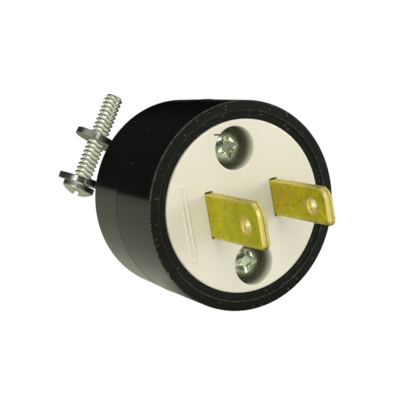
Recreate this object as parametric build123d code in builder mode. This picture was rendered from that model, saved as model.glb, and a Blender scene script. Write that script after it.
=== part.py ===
from build123d import *
import os
from math import cos, radians, sin, sqrt, tan

# Two-blade polarized plug with a dead-front face and a screw-down cord clamp.
#
# Frame: origin at the centre of the front face. +X is right as seen from the front, +Y runs
# to the rear along the plug's axis, and +Z runs up along the blades' width. Millimetres.
# The clamp is turned about the plug's axis: its own directions are "along" (from screw to
# screw) and "up" (along the screws, from their heads to their tips).

# Face insert
face_radius = 14.79
insert_depth = 6.0
face_gap = 0.14

# Shell
rim_width = 3.03
rim_step_width = 1.27
rim_step_depth = 0.4
body_length = 23.5
parting_depth = 13.3
front_draft = 1.55
rear_draft = 2.5
rear_wall = 2.5
rear_edge = 0.6
ledge_width = 0.93

# Assembly screws and the wells and bosses that they sit in
screw_offset = 10.1
well_radius = 3.7
well_depth = 4.1
head_radius = 2.9
head_height = 1.9
head_edge = 0.5
shank_radius = 1.5
shank_length = 10.0
hole_clearance = 0.08
boss_radius = 2.55
boss_web = 2.2
boss_hole_depth = 5.4
drive_slot_width = 0.9
drive_slot_depth = 0.8
drive_cross_length = 3.0
upper_slot_turn = 8.0
lower_slot_turn = -15.0

# Blades
blade_spacing = 12.7
blade_thickness = 1.5
blade_length = 16.4
wide_blade = 7.8
narrow_blade = 6.35
tip_clip_along = 1.2
tip_clip_across = 1.3
tip_bevel_along = 0.5
tip_bevel_deep = 0.3
blade_hole_depth = 12.1
blade_hole_radius = 1.6
fold_radius = 0.7
seam_width = 0.06
shoulder_span = 10.4
shoulder_thickness = 2.4
tab_width = 7.0
tab_margin = 3.4
tab_corner = 1.2
slot_clearance = 0.05
slot_headroom = 0.35

# Terminal block and the terminals
block_depth = 4.0
block_gap = 0.2
barrier_thickness = 1.6
barrier_height = 7.0
barrier_span = 13.0
terminal_gap = 0.2
terminal_shank_radius = 1.65
terminal_shank_length = 4.2
terminal_head_radius = 3.3
terminal_head_height = 1.7
terminal_slot_turn = 0.0
pressure_plate_side = 6.8
pressure_plate_thickness = 0.9

# Cord clamp
clamp_turn = 35.5
clamp_mid = -0.65
plate_thickness = 1.1
plate_reach = 20.8
plate_clearance = 1.4
plate_width = 8.4
plate_corner = 4.0
flat_gap = 4.9
flat_half_length = 5.0
bend_radius = 0.6
ear_slope = 4.9
saddle_radius = 3.75
tongue_half_width = 7.0
foot_reach = 7.4
foot_inner = 2.4
foot_gap = 0.1
clamp_screw_margin = 4.1
clamp_screw_radius = 1.67
clamp_screw_length = 17.4
clamp_head_radius = 2.9
clamp_head_height = 2.1
clamp_head_edge = 0.8
clamp_screw_point = 0.4
clamp_slot_width = 0.8
clamp_slot_depth = 0.9
clamp_slot_turn = -66.0
seat_gap = 0.02
window_length = 14.6
window_height = 11.1
window_corner = 1.5

# Two positions closer than this are the same
same = 1e-6

# Worked out from the sizes above
bore_radius = face_radius + face_gap
step_radius = bore_radius + rim_step_width
rim_radius = bore_radius + rim_width
parting_radius = rim_radius - parting_depth * tan(radians(front_draft))
rear_radius = parting_radius - (body_length - parting_depth) * tan(radians(rear_draft))
chamber_radius = bore_radius - ledge_width
chamber_end = body_length - rear_wall
block_end = insert_depth + block_depth
shoulder_front = insert_depth - shoulder_thickness
terminal_depth = block_end + pressure_plate_side / 2 + terminal_gap
tab_end = terminal_depth + tab_margin
slot_thickness = blade_thickness + 2 * slot_clearance
screw_hole_radius = shank_radius + hole_clearance
foot_front = chamber_end - foot_gap - plate_thickness
plate_front = body_length + plate_clearance
plate_middle = plate_front + plate_width / 2
clamp_screw_offset = plate_reach - clamp_screw_margin
ear_rise = tan(radians(ear_slope))

turn = radians(clamp_turn)
along = (cos(turn), 0, -sin(turn))
up = (sin(turn), 0, cos(turn))


def across(depth):
    """Plane square to the plug's axis, X right and Z up. Its normal points to the front."""
    return Plane.XZ.offset(-depth)


def clamp_across(depth):
    """The same plane turned with the clamp: its x runs along the plates, its y up the screws."""
    return Plane((0, depth, 0), x_dir=along, z_dir=(0, -1, 0))


def clamp_plan(height):
    """Plane square to the clamp screws: its x runs along the plates, its y to the rear."""
    return Plane(tuple(height * part for part in up), x_dir=along, z_dir=up)


def finish(part, name):
    """Label one finished piece and write it to its own file."""
    part.label = name
    export_step(part, f"parts/{name}.step")


def make_shell():
    """Tapered cup with a stepped rim, a parting edge, two screw bosses and the cord window."""
    with BuildPart() as shell:
        with BuildSketch(Plane.XY):
            with BuildLine():
                Polyline(
                    (step_radius, 0),
                    (rim_radius, 0),
                    (parting_radius, parting_depth),
                    (rear_radius, body_length),
                    (0, body_length),
                    (0, chamber_end),
                    (chamber_radius, chamber_end),
                    (chamber_radius, insert_depth),
                    (bore_radius, insert_depth),
                    (bore_radius, rim_step_depth),
                    (step_radius, rim_step_depth),
                    close=True,
                )
            make_face()
        revolve(axis=Axis.Y)
        chamfer(shell.edges().filter_by(GeomType.CIRCLE).group_by(Axis.Y)[-1], rear_edge)

        # Each web runs on into the wall, out to the bore in front of the ledge
        web_length = bore_radius - screw_offset
        web_middle = screw_offset + web_length / 2
        with BuildSketch(across(block_end)):
            with Locations((0, screw_offset), (0, -screw_offset)):
                Circle(boss_radius)
            with Locations((0, web_middle), (0, -web_middle)):
                Rectangle(boss_web, web_length)
        extrude(amount=block_end - chamber_end)
        with BuildSketch(across(block_end)):
            with Locations((0, screw_offset), (0, -screw_offset)):
                Circle(screw_hole_radius)
        extrude(amount=-boss_hole_depth, mode=Mode.SUBTRACT)

        with BuildSketch(clamp_across(chamber_end)):
            RectangleRounded(window_length, window_height, window_corner)
        extrude(amount=-rear_wall, mode=Mode.SUBTRACT)
    finish(shell.part, "shell")


def make_face_insert():
    """Dead-front disc: blade slots, pockets for the blades' shoulders and two screw wells."""
    with BuildPart() as insert:
        with BuildSketch(across(0)):
            Circle(face_radius)
        extrude(amount=-insert_depth)

        with BuildSketch(across(0)):
            for x, width in ((-blade_spacing / 2, wide_blade), (blade_spacing / 2, narrow_blade)):
                with Locations((x, slot_headroom / 2)):
                    Rectangle(slot_thickness, width + slot_headroom + 2 * slot_clearance)
        extrude(amount=-insert_depth, mode=Mode.SUBTRACT)
        with BuildSketch(across(shoulder_front)):
            with Locations((-blade_spacing / 2, 0), (blade_spacing / 2, 0)):
                Rectangle(slot_thickness, shoulder_span + 2 * slot_clearance)
        extrude(amount=-shoulder_thickness, mode=Mode.SUBTRACT)

        with BuildSketch(across(0)):
            with Locations((0, screw_offset), (0, -screw_offset)):
                Circle(well_radius)
        extrude(amount=-well_depth, mode=Mode.SUBTRACT)
        with BuildSketch(across(0)):
            with Locations((0, screw_offset), (0, -screw_offset)):
                Circle(screw_hole_radius)
        extrude(amount=-insert_depth, mode=Mode.SUBTRACT)
    finish(insert.part, "face_insert")


def make_terminal_block():
    """Inner disc behind the blades' shoulders, with a barrier between the two terminals."""
    with BuildPart() as block:
        with BuildSketch(across(insert_depth)):
            Circle(chamber_radius - block_gap)
            with Locations((-blade_spacing / 2, 0), (blade_spacing / 2, 0)):
                Rectangle(slot_thickness, tab_width + 2 * slot_clearance, mode=Mode.SUBTRACT)
            with Locations((0, screw_offset), (0, -screw_offset)):
                Circle(screw_hole_radius, mode=Mode.SUBTRACT)
        extrude(amount=-block_depth)
        with BuildSketch(across(block_end)):
            Rectangle(barrier_thickness, barrier_span)
        extrude(amount=-barrier_height)
    finish(block.part, "terminal_block")


def make_blade(x, width, name):
    """One strip folded double on its lower edge, so a seam shows at its tip and upper edge."""
    half = width / 2
    clip_start = tip_clip_along - blade_length
    with BuildPart() as blade:
        with BuildSketch(Plane.YZ.offset(x - blade_thickness / 2)):
            with BuildLine():
                Polyline(
                    (-blade_length, half - tip_clip_across),
                    (clip_start, half),
                    (shoulder_front, half),
                    (shoulder_front, shoulder_span / 2),
                    (insert_depth, shoulder_span / 2),
                    (insert_depth, tab_width / 2),
                    (tab_end, tab_width / 2),
                    (tab_end, -tab_width / 2),
                    (insert_depth, -tab_width / 2),
                    (insert_depth, -shoulder_span / 2),
                    (shoulder_front, -shoulder_span / 2),
                    (shoulder_front, -half),
                    (clip_start, -half),
                    (-blade_length, tip_clip_across - half),
                    close=True,
                )
            make_face()
            fillet(vertices().group_by(Axis.X)[-1], tab_corner)
            with Locations((-blade_hole_depth, 0)):
                Circle(blade_hole_radius, mode=Mode.SUBTRACT)
            with Locations((terminal_depth, 0)):
                Circle(terminal_shank_radius + hole_clearance, mode=Mode.SUBTRACT)
        extrude(amount=blade_thickness)

        tip = blade.edges().group_by(Axis.Y)[0].filter_by(Axis.Z)
        chamfer(tip, tip_bevel_deep, tip_bevel_along, reference=blade.faces().sort_by(Axis.Y)[0])
        lengthwise = blade.edges().filter_by(Axis.Y)
        fillet(lengthwise.filter_by(lambda edge: abs(edge.center().Z + half) < same), fold_radius)

        seam_height = width - 2 * fold_radius
        with BuildSketch(across(-blade_length)):
            with Locations((x, half - seam_height / 2)):
                Rectangle(seam_width, seam_height)
        extrude(amount=-(blade_length + shoulder_front), mode=Mode.SUBTRACT)
    finish(blade.part, name)


def make_screw(name, seat, shank, head, slot, cross_length=0, point=0):
    """Slotted screw. seat lies under its head, with its normal out of the head.

    shank is (radius, length), head is (radius, height, width of its chamfered edge) and slot
    is (width, depth, turn in degrees). cross_length adds a second, shorter slot, and point
    chamfers the tip.
    """
    radius, length = shank
    head_outer, height, edge = head
    width, depth, slot_turn = slot
    with BuildPart() as screw:
        with BuildSketch(Plane(seat.origin, x_dir=seat.x_dir, z_dir=-seat.y_dir)):
            with BuildLine():
                Polyline(
                    (0, height),
                    (head_outer - edge, height),
                    (head_outer, height - edge),
                    (head_outer, 0),
                    (radius, 0),
                    (radius, -length),
                    (0, -length),
                    close=True,
                )
            make_face()
        screw_axis = Axis(seat.origin, seat.z_dir)
        revolve(axis=screw_axis)
        if point:
            chamfer(screw.edges().sort_by(screw_axis)[0], point)
        with BuildSketch(seat.offset(height)):
            Rectangle(3 * head_outer, width, rotation=slot_turn)
            if cross_length:
                Rectangle(width, cross_length, rotation=slot_turn)
        extrude(amount=-depth, mode=Mode.SUBTRACT)
    finish(screw.part, name)


def make_assembly_screw(height, slot_turn, name):
    """Screw with its head in a well of the face, through the insert and block into a boss."""
    make_screw(
        name,
        Plane((0, well_depth, height), x_dir=(1, 0, 0), z_dir=(0, -1, 0)),
        (shank_radius, shank_length),
        (head_radius, head_height, head_edge),
        (drive_slot_width, drive_slot_depth, slot_turn),
        drive_cross_length,
    )


def make_pressure_plate(side, name):
    """Square plate between a terminal screw's head and its tab. side is -1 left, 1 right."""
    tab_face = side * (blade_spacing + blade_thickness) / 2
    with BuildPart() as plate:
        with BuildSketch(Plane.YZ.offset(tab_face)):
            with Locations((terminal_depth, 0)):
                Rectangle(pressure_plate_side, pressure_plate_side)
                Circle(terminal_shank_radius + hole_clearance, mode=Mode.SUBTRACT)
        extrude(amount=side * pressure_plate_thickness)
    finish(plate.part, name)


def make_terminal_screw(side, name):
    """Binding screw through the pressure plate into the blade's tab."""
    head_seat = side * ((blade_spacing + blade_thickness) / 2 + pressure_plate_thickness)
    make_screw(
        name,
        Plane((head_seat, terminal_depth, 0), x_dir=(0, 1, 0), z_dir=(side, 0, 0)),
        (terminal_shank_radius, terminal_shank_length),
        (terminal_head_radius, terminal_head_height, head_edge),
        (drive_slot_width, drive_slot_depth, terminal_slot_turn),
    )


def make_clamp_plate(side, name):
    """Bowed plate with a saddle for the cord, a tongue through the shell and a hooked foot.

    side is 1 for the plate nearer the screws' tips and -1 for the one under their heads.
    """
    flat = flat_gap / 2
    flat_outer = flat + plate_thickness
    ear_inner = flat + (plate_reach - flat_half_length) * ear_rise
    ear_outer = ear_inner + plate_thickness
    saddle_half = sqrt(saddle_radius**2 - flat**2)
    outer_radius = saddle_radius + plate_thickness
    outer_half = sqrt(outer_radius**2 - flat_outer**2)

    def at(length, height):
        """Point at a length along the plates and a height from the clamp's middle plane."""
        return (length, clamp_mid + side * height)

    with BuildPart() as plate:
        with BuildSketch(clamp_across(foot_front)):
            with BuildLine():
                ThreePointArc(at(-saddle_half, flat), at(0, saddle_radius), at(saddle_half, flat))
                Polyline(
                    at(saddle_half, flat),
                    at(flat_half_length, flat),
                    at(plate_reach, ear_inner),
                    at(plate_reach, ear_outer),
                    at(flat_half_length, flat_outer),
                    at(outer_half, flat_outer),
                )
                ThreePointArc(
                    at(outer_half, flat_outer), at(0, outer_radius), at(-outer_half, flat_outer)
                )
                Polyline(
                    at(-outer_half, flat_outer),
                    at(-flat_half_length, flat_outer),
                    at(-plate_reach, ear_outer),
                    at(-plate_reach, ear_inner),
                    at(-flat_half_length, flat),
                    at(-saddle_half, flat),
                )
            make_face()
            fillet(vertices().filter_by(lambda v: abs(v.X) < outer_half + same), bend_radius)
        extrude(amount=foot_front - plate_front - plate_width)

        tongue_length = plate_front - foot_front
        with BuildSketch(clamp_plan(clamp_mid)):
            with Locations((0, plate_middle)):
                Rectangle(2 * plate_reach, plate_width)
            fillet(vertices(), plate_corner)
            with Locations((0, foot_front + tongue_length / 2)):
                Rectangle(2 * tongue_half_width, tongue_length)
            with Locations((-clamp_screw_offset, plate_middle), (clamp_screw_offset, plate_middle)):
                Circle(clamp_screw_radius + hole_clearance, mode=Mode.SUBTRACT)
        extrude(amount=plate_reach, both=True, mode=Mode.INTERSECT)

        foot_start = flat + plate_thickness / 2
        foot_middle = side * (tongue_half_width - foot_inner) / 2
        with BuildSketch(clamp_across(foot_front)):
            with Locations(at(foot_middle, (foot_start + foot_reach) / 2)):
                Rectangle(tongue_half_width + foot_inner, foot_reach - foot_start)
            with Locations(at(0, 0)):
                Circle(saddle_radius, mode=Mode.SUBTRACT)
        extrude(amount=-plate_thickness)
    finish(plate.part, name)


def make_clamp_screw(side, name):
    """Long slotted screw through both plates' ears. side is -1 left, 1 right."""
    ear_under_head = clamp_screw_offset + clamp_head_radius - flat_half_length
    height = clamp_mid - (flat_gap / 2 + plate_thickness + ear_under_head * ear_rise + seat_gap)
    seat = clamp_plan(height)
    middle = seat.from_local_coords((side * clamp_screw_offset, plate_middle, 0))
    make_screw(
        name,
        Plane(middle, x_dir=along, z_dir=tuple(-part for part in up)),
        (clamp_screw_radius, clamp_screw_length),
        (clamp_head_radius, clamp_head_height, clamp_head_edge),
        (clamp_slot_width, clamp_slot_depth, clamp_slot_turn),
        point=clamp_screw_point,
    )


os.makedirs("parts", exist_ok=True)
make_shell()
make_face_insert()
make_terminal_block()
make_blade(-blade_spacing / 2, wide_blade, "blade_neutral")
make_blade(blade_spacing / 2, narrow_blade, "blade_line")
make_assembly_screw(screw_offset, upper_slot_turn, "assembly_screw_upper")
make_assembly_screw(-screw_offset, lower_slot_turn, "assembly_screw_lower")
for side, place in ((-1, "neutral"), (1, "line")):
    make_pressure_plate(side, f"pressure_plate_{place}")
    make_terminal_screw(side, f"terminal_screw_{place}")
make_clamp_plate(-1, "clamp_plate_fixed")
make_clamp_plate(1, "clamp_plate_moving")
make_clamp_screw(-1, "clamp_screw_left")
make_clamp_screw(1, "clamp_screw_right")
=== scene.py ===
"""Two-blade polarized plug with a dead-front face and a screw-down cord clamp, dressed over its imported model.

Sizes in the classes are in millimetres, in the part's own frame: the origin is the centre of the front
face, +Y runs to the rear and +Z runs up along the blades' width. What a material's or the studio's nodes
read is in metres.
"""

import logging
from dataclasses import dataclass
from enum import Enum

import bmesh
import bpy
import numpy as np
from mathutils import Matrix, Vector

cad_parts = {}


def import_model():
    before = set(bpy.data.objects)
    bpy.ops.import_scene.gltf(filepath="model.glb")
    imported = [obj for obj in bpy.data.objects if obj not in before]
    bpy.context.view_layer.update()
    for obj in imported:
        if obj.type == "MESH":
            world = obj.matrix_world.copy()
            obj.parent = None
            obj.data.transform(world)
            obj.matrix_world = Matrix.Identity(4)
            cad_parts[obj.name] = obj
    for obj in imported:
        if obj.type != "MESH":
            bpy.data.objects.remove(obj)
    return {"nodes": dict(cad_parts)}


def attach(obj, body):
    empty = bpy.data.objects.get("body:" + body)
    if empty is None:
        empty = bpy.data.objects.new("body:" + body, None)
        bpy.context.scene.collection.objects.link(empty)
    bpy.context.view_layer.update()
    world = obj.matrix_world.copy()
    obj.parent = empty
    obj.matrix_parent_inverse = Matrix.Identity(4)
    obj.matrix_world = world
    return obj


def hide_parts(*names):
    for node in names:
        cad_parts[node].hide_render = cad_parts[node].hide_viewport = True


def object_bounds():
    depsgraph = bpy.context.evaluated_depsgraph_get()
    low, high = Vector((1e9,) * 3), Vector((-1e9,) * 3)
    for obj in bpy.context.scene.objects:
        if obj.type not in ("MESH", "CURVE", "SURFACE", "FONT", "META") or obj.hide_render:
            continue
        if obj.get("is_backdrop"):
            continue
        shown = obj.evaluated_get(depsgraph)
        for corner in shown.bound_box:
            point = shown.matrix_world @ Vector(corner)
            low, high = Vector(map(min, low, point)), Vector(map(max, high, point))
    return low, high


LOG = logging.getLogger("plug")
MM = 0.001
WELD = 1e-6
BLADE_SPACING = 12.7
SCREW_OFFSET = 10.1
WELL_DEPTH = 4.1
SCREW_HEAD_RADIUS = 2.9
CLAMP_TURN = np.radians(35.5)
CLAMP_MID = -0.65
PLATE_FRONT = 24.9
PLATE_WIDTH = 8.4
PLATE_MIDDLE = PLATE_FRONT + PLATE_WIDTH / 2
CLAMP_SCREW_OFFSET = 16.7
Profile = list[tuple[float, float]]
Socket = bpy.types.NodeSocket


class Axes(Enum):
    """Directions that a shape is laid out in: its u, its v and its w axis, as three unit vectors."""

    PLUG = ((1.0, 0.0, 0.0), (0.0, 0.0, 1.0), (0.0, 1.0, 0.0))
    BLADE = ((0.0, 1.0, 0.0), (0.0, 0.0, 1.0), (1.0, 0.0, 0.0))
    CLAMP = (
        (float(np.cos(CLAMP_TURN)), 0.0, -float(np.sin(CLAMP_TURN))),
        (0.0, 1.0, 0.0),
        (float(np.sin(CLAMP_TURN)), 0.0, float(np.cos(CLAMP_TURN))),
    )

    def place(self, u: np.ndarray, v: np.ndarray, w: np.ndarray) -> np.ndarray:
        """Points at u, v and w times this frame's three directions.

        Args:
            u, v, w: distances along the three axes, arrays that broadcast together.
        Returns:
            An array of points with one more dimension, of length 3.
        """
        parts = np.broadcast_arrays(u, v, w)
        return sum(part[..., None] * np.array(axis) for part, axis in zip(parts, self.value))


class Body(Enum):
    """The moving bodies of the frame that pieces ride on."""

    PLUG = "plug_body"
    PLATE = "loose_plate"
    LEFT = "left_screw"
    RIGHT = "right_screw"


def grid_quads(rows: int, columns: int, wrap_rows: bool, wrap_columns: bool) -> np.ndarray:
    """Four corner numbers of each cell of a grid whose points are counted row by row.

    Args:
        rows, columns: number of points each way.
        wrap_rows, wrap_columns: whether the last line joins the first one.
    Returns:
        An array of shape (cells, 4).
    """
    i = np.arange(rows if wrap_rows else rows - 1)
    j = np.arange(columns if wrap_columns else columns - 1)
    i, j = (a.ravel() for a in np.meshgrid(i, j, indexing="ij"))
    down, right = (i + 1) % rows, (j + 1) % columns
    return np.stack([i * columns + j, i * columns + right, down * columns + right, down * columns + j], 1)


def rounded(corners: Profile, radii: list[float], steps: int = 6) -> np.ndarray:
    """A run of straight lines with each inner corner replaced by an arc tangent to its two lines.

    Formula: the arc's centre stands on the corner's bisector at radius / sin(half the corner's angle),
    and the arc turns from one tangent point to the other in equal steps.

    Args:
        corners: the corners, the two ends included.
        radii: one radius for each inner corner, 0 for a sharp one.
        steps: straight pieces in each arc.
    Returns:
        The points of the rounded line, shape (n, 2).
    """
    points = np.array(corners, float)
    line = [points[:1]]
    for before, corner, after, radius in zip(points, points[1:], points[2:], radii):
        if radius <= 0:
            line.append(corner[None])
            continue
        back, ahead = (d / np.linalg.norm(d) for d in (before - corner, after - corner))
        half = np.arccos(np.clip(back @ ahead, -1, 1)) / 2
        reach = radius / np.tan(half)
        centre = corner + (back + ahead) / np.linalg.norm(back + ahead) * radius / np.sin(half)
        first, last = corner + back * reach - centre, corner + ahead * reach - centre
        sweep = np.pi - 2 * half
        t = np.linspace(0, 1, steps + 1)[:, None]
        line.append(centre + (np.sin((1 - t) * sweep) * first + np.sin(t * sweep) * last) / np.sin(sweep))
    return np.concatenate([*line, points[-1:]])


def lathe(profile: np.ndarray, angles: np.ndarray) -> tuple[np.ndarray, np.ndarray, np.ndarray]:
    """Surface of revolution: u = r cos(angle), v = r sin(angle), w = the profile's height.

    Args:
        profile: (n, 2) radii and heights.
        angles: the turns, in radians.
    Returns:
        u, v and w, each of shape (n, angles).
    """
    radius, height = profile[:, :1], profile[:, 1:]
    return radius * np.cos(angles), radius * np.sin(angles), height + 0 * angles


def turns(count: int) -> np.ndarray:
    """Equal angles round a full circle, without the last one, which is the first again."""
    return np.arange(count) * 2 * np.pi / count


class Skin:
    """Collects grids of points and welds them into one closed mesh object."""

    def __init__(self, name: str) -> None:
        """Starts an empty skin with the name that its object will have."""
        self.name = name
        self._points: list[np.ndarray] = []
        self._quads: list[np.ndarray] = []
        self._marks: list[np.ndarray] = []
        self._count = 0

    def add(
        self,
        points: np.ndarray,
        wrap_rows: bool = False,
        wrap_columns: bool = False,
        mark: np.ndarray | float = 0.0,
    ) -> None:
        """Adds one grid of points.

        Args:
            points: shape (rows, columns, 3), in millimetres.
            wrap_rows, wrap_columns: whether the grid closes on itself that way.
            mark: value of the "mark" attribute, one number or one for each point.
        """
        rows, columns = points.shape[:2]
        self._points.append(points.reshape(-1, 3))
        self._quads.append(grid_quads(rows, columns, wrap_rows, wrap_columns) + self._count)
        self._marks.append(np.broadcast_to(mark, (rows, columns)).ravel())
        self._count += rows * columns

    def build(self, sharp: float = 35.0) -> bpy.types.Object:
        """Welds the grids, turns all faces outwards and makes the object.

        Args:
            sharp: edges that turn by more than this many degrees stay crisp.
        Returns:
            The new object, linked to the scene, with its place in its mesh.
        """
        mesh = bpy.data.meshes.new(self.name)
        mesh.from_pydata(
            (np.concatenate(self._points) * MM).tolist(), [], np.concatenate(self._quads).tolist()
        )
        mark = mesh.attributes.new("mark", "FLOAT", "POINT")
        mark.data.foreach_set("value", np.concatenate(self._marks).astype(np.float32))
        work = bmesh.new()
        work.from_mesh(mesh)
        bmesh.ops.remove_doubles(work, verts=work.verts, dist=WELD)
        bmesh.ops.recalc_face_normals(work, faces=work.faces)
        work.to_mesh(mesh)
        work.free()
        mesh.shade_smooth()
        mesh.set_sharp_from_angle(angle=np.radians(sharp))
        piece = bpy.data.objects.new(self.name, mesh)
        bpy.context.scene.collection.objects.link(piece)
        shading = piece.modifiers.new("flat faces first", "WEIGHTED_NORMAL")
        shading.keep_sharp = True
        shading.weight = 100
        return piece


def settle(piece: bpy.types.Object, body: Body, slot: str, material: bpy.types.Material, *nodes: str) -> None:
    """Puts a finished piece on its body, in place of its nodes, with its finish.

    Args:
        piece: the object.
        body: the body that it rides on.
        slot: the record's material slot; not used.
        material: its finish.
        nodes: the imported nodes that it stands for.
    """
    piece.data.materials.clear()
    piece.data.materials.append(material)
    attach(piece, body.value)
    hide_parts(*nodes)
    LOG.info("%s: %d faces, for %s", piece.name, len(piece.data.polygons), ", ".join(nodes))


class Tree:
    """A node tree, with short ways to add and join its nodes."""

    def __init__(self, tree: bpy.types.NodeTree) -> None:
        """Keeps the tree that the nodes go into."""
        self.tree = tree

    def add(self, kind: str, **settings: object) -> bpy.types.Node:
        """Adds a node.

        Args:
            kind: the node's type, without its first word, ShaderNode.
            settings: its own settings by name.
        Returns:
            The node.
        """
        node = self.tree.nodes.new(f"ShaderNode{kind}")
        for name, value in settings.items():
            setattr(node, name, value)
        return node

    def feed(self, value: object, target: Socket) -> None:
        """Gives a socket what it reads.

        Args:
            value: a socket to join it to, or else a number or an RGB triple to set on it.
            target: the socket.
        """
        if isinstance(value, Socket):
            self.tree.links.new(value, target)
        else:
            target.default_value = (*value, 1.0) if isinstance(value, tuple) else value

    def components(self, place: Socket) -> tuple[Socket, Socket, Socket]:
        """The x, y and z of a place."""
        node = self.add("SeparateXYZ")
        self.feed(place, node.inputs[0])
        return tuple(node.outputs)

    def scaled(
        self,
        source: Socket,
        low: float,
        high: float,
        span: tuple[object, object] = (0.0, 1.0),
        smooth: bool = False,
    ) -> Socket:
        """Maps a value's own span to low..high, and holds it there outside the span.

        Args:
            source: the value.
            low, high: what it becomes at the two ends.
            span: the value's own two ends, each a socket or a number.
            smooth: whether it eases in and out between them.
        Returns:
            The mapped value.
        """
        node = self.add("MapRange", interpolation_type="SMOOTHSTEP" if smooth else "LINEAR")
        labels = ("Value", "From Min", "From Max", "To Min", "To Max")
        for value, label in zip((source, *span, low, high), labels):
            self.feed(value, node.inputs[label])
        return node.outputs["Result"]

    def together(self, operation: str, first: object, second: object = 0.0) -> Socket:
        """Joins two values by a Math operation.

        Args:
            operation: name of the operation.
            first, second: a socket or a number each. An operation on one value takes no second.
        Returns:
            The result.
        """
        node = self.add("Math", operation=operation)
        self.feed(first, node.inputs[0])
        self.feed(second, node.inputs[1])
        return node.outputs[0]

    def choice(self, share: Socket, first: object, second: object) -> Socket:
        """Mixes two numbers by a share from 0 to 1.

        Args:
            share: how much of the second there is.
            first, second: a socket or a number.
        Returns:
            The mixed number.
        """
        node = self.add("Mix")
        for value, number in ((share, 0), (first, 2), (second, 3)):
            self.feed(value, node.inputs[number])
        return node.outputs[0]


class Shader(Tree):
    """A material's node tree: a Principled BSDF and what feeds it."""

    def __init__(self, name: str) -> None:
        """Starts a material that has only a Principled BSDF and its output."""
        self.material = bpy.data.materials.new(name)
        self.material.use_nodes = True
        super().__init__(self.material.node_tree)
        self.tree.nodes.clear()
        self.surface = self.add("BsdfPrincipled")
        self.feed(self.surface.outputs[0], self.add("OutputMaterial").inputs[0])

    def object_place(self) -> Socket:
        """The point's place on the object, in metres."""
        return self.add("TexCoord").outputs["Object"]

    def mark(self) -> Socket:
        """The value that the piece's mesh carries in its "mark" attribute."""
        return self.add("Attribute", attribute_name="mark").outputs["Fac"]

    def effect(self, tree: bpy.types.NodeTree, place: Socket, **values: float) -> Socket:
        """Places a shared effect.

        Args:
            tree: the effect's node group.
            place: the place that it reads.
            values: its other inputs by name.
        Returns:
            Its mask.
        """
        node = self.add("Group", node_tree=tree)
        for name, value in {"Place": place, **values}.items():
            self.feed(value, node.inputs[name])
        return node.outputs["Mask"]

    def blend(self, share: Socket, first: object, second: object) -> Socket:
        """Mixes two colours.

        Args:
            share: how much of the second there is, held to 0..1.
            first, second: a socket or an RGB triple.
        Returns:
            The mixed colour.
        """
        node = self.add("Mix", data_type="RGBA", clamp_factor=True)
        for value, number in ((share, 0), (first, 6), (second, 7)):
            self.feed(value, node.inputs[number])
        return node.outputs[2]

    def relief(self, height: Socket, distance: float, strength: float) -> None:
        """Gives the surface small relief.

        Args:
            height: the relief's height, about 0 to 1.
            distance: the height of 1, in metres.
            strength: how much of it shows.
        """
        node = self.add("Bump")
        for label, value in (("Height", height), ("Distance", distance), ("Strength", strength)):
            self.feed(value, node.inputs[label])
        self.set(Normal=node.outputs["Normal"])

    def set(self, **values: object) -> None:
        """Feeds the surface shader's own sockets by name, an underscore standing for a space."""
        for name, value in values.items():
            self.feed(value, self.surface.inputs[name.replace("_", " ")])


class Effects:
    """Shader node groups that several finishes share. Each reads a Place and puts out a Mask."""

    def __init__(self) -> None:
        """Builds each group once."""
        self.mottle = self._mottle()
        self.specks = self._specks()

    @staticmethod
    def _start(name: str, **inputs: float) -> tuple[Tree, bpy.types.NodeOutputs, Socket]:
        """Starts a group with a Place input, float inputs and a Mask output.

        Args:
            name: the group's name.
            inputs: name and default of each float input.
        Returns:
            The group, its inputs as its nodes read them, and the socket that takes the mask.
        """
        tree = bpy.data.node_groups.new(name, "ShaderNodeTree")
        tree.interface.new_socket("Place", in_out="INPUT", socket_type="NodeSocketVector")
        for label, value in inputs.items():
            socket = tree.interface.new_socket(label, in_out="INPUT", socket_type="NodeSocketFloat")
            socket.default_value = value
        tree.interface.new_socket("Mask", in_out="OUTPUT", socket_type="NodeSocketFloat")
        given, made = tree.nodes.new("NodeGroupInput"), tree.nodes.new("NodeGroupOutput")
        return Tree(tree), given.outputs, made.inputs["Mask"]

    def _mottle(self) -> bpy.types.NodeTree:
        """Soft cloudy variation: fractal noise of the place, stretched about its middle and held to 0..1."""
        group, given, mask = self._start("mottle", Scale=300.0, Detail=4.0, Contrast=1.0)
        noise = group.add("TexNoise")
        for label, name in (("Vector", "Place"), ("Scale", "Scale"), ("Detail", "Detail")):
            group.feed(given[name], noise.inputs[label])
        centred = group.together("SUBTRACT", noise.outputs["Fac"], 0.5)
        spread = group.add("Math", operation="MULTIPLY_ADD", use_clamp=True)
        for value, target in zip((centred, given["Contrast"], 0.5), spread.inputs):
            group.feed(value, target)
        group.feed(spread.outputs[0], mask)
        return group.tree

    def _specks(self) -> bpy.types.NodeTree:
        """Scattered round specks: 1 inside a radius of a random cell point, in a share of the cells."""
        group, given, mask = self._start("specks", Scale=900.0, Size=0.18, Share=0.3)
        cells = group.add("TexVoronoi")
        group.feed(given["Place"], cells.inputs["Vector"])
        group.feed(given["Scale"], cells.inputs["Scale"])
        near = group.scaled(cells.outputs["Distance"], 0.0, 1.0, (given["Size"], 0.0), smooth=True)
        split = group.add("SeparateColor")
        group.feed(cells.outputs["Color"], split.inputs[0])
        chosen = group.together("LESS_THAN", split.outputs[0], given["Share"])
        group.feed(group.together("MULTIPLY", near, chosen), mask)
        return group.tree


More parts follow.
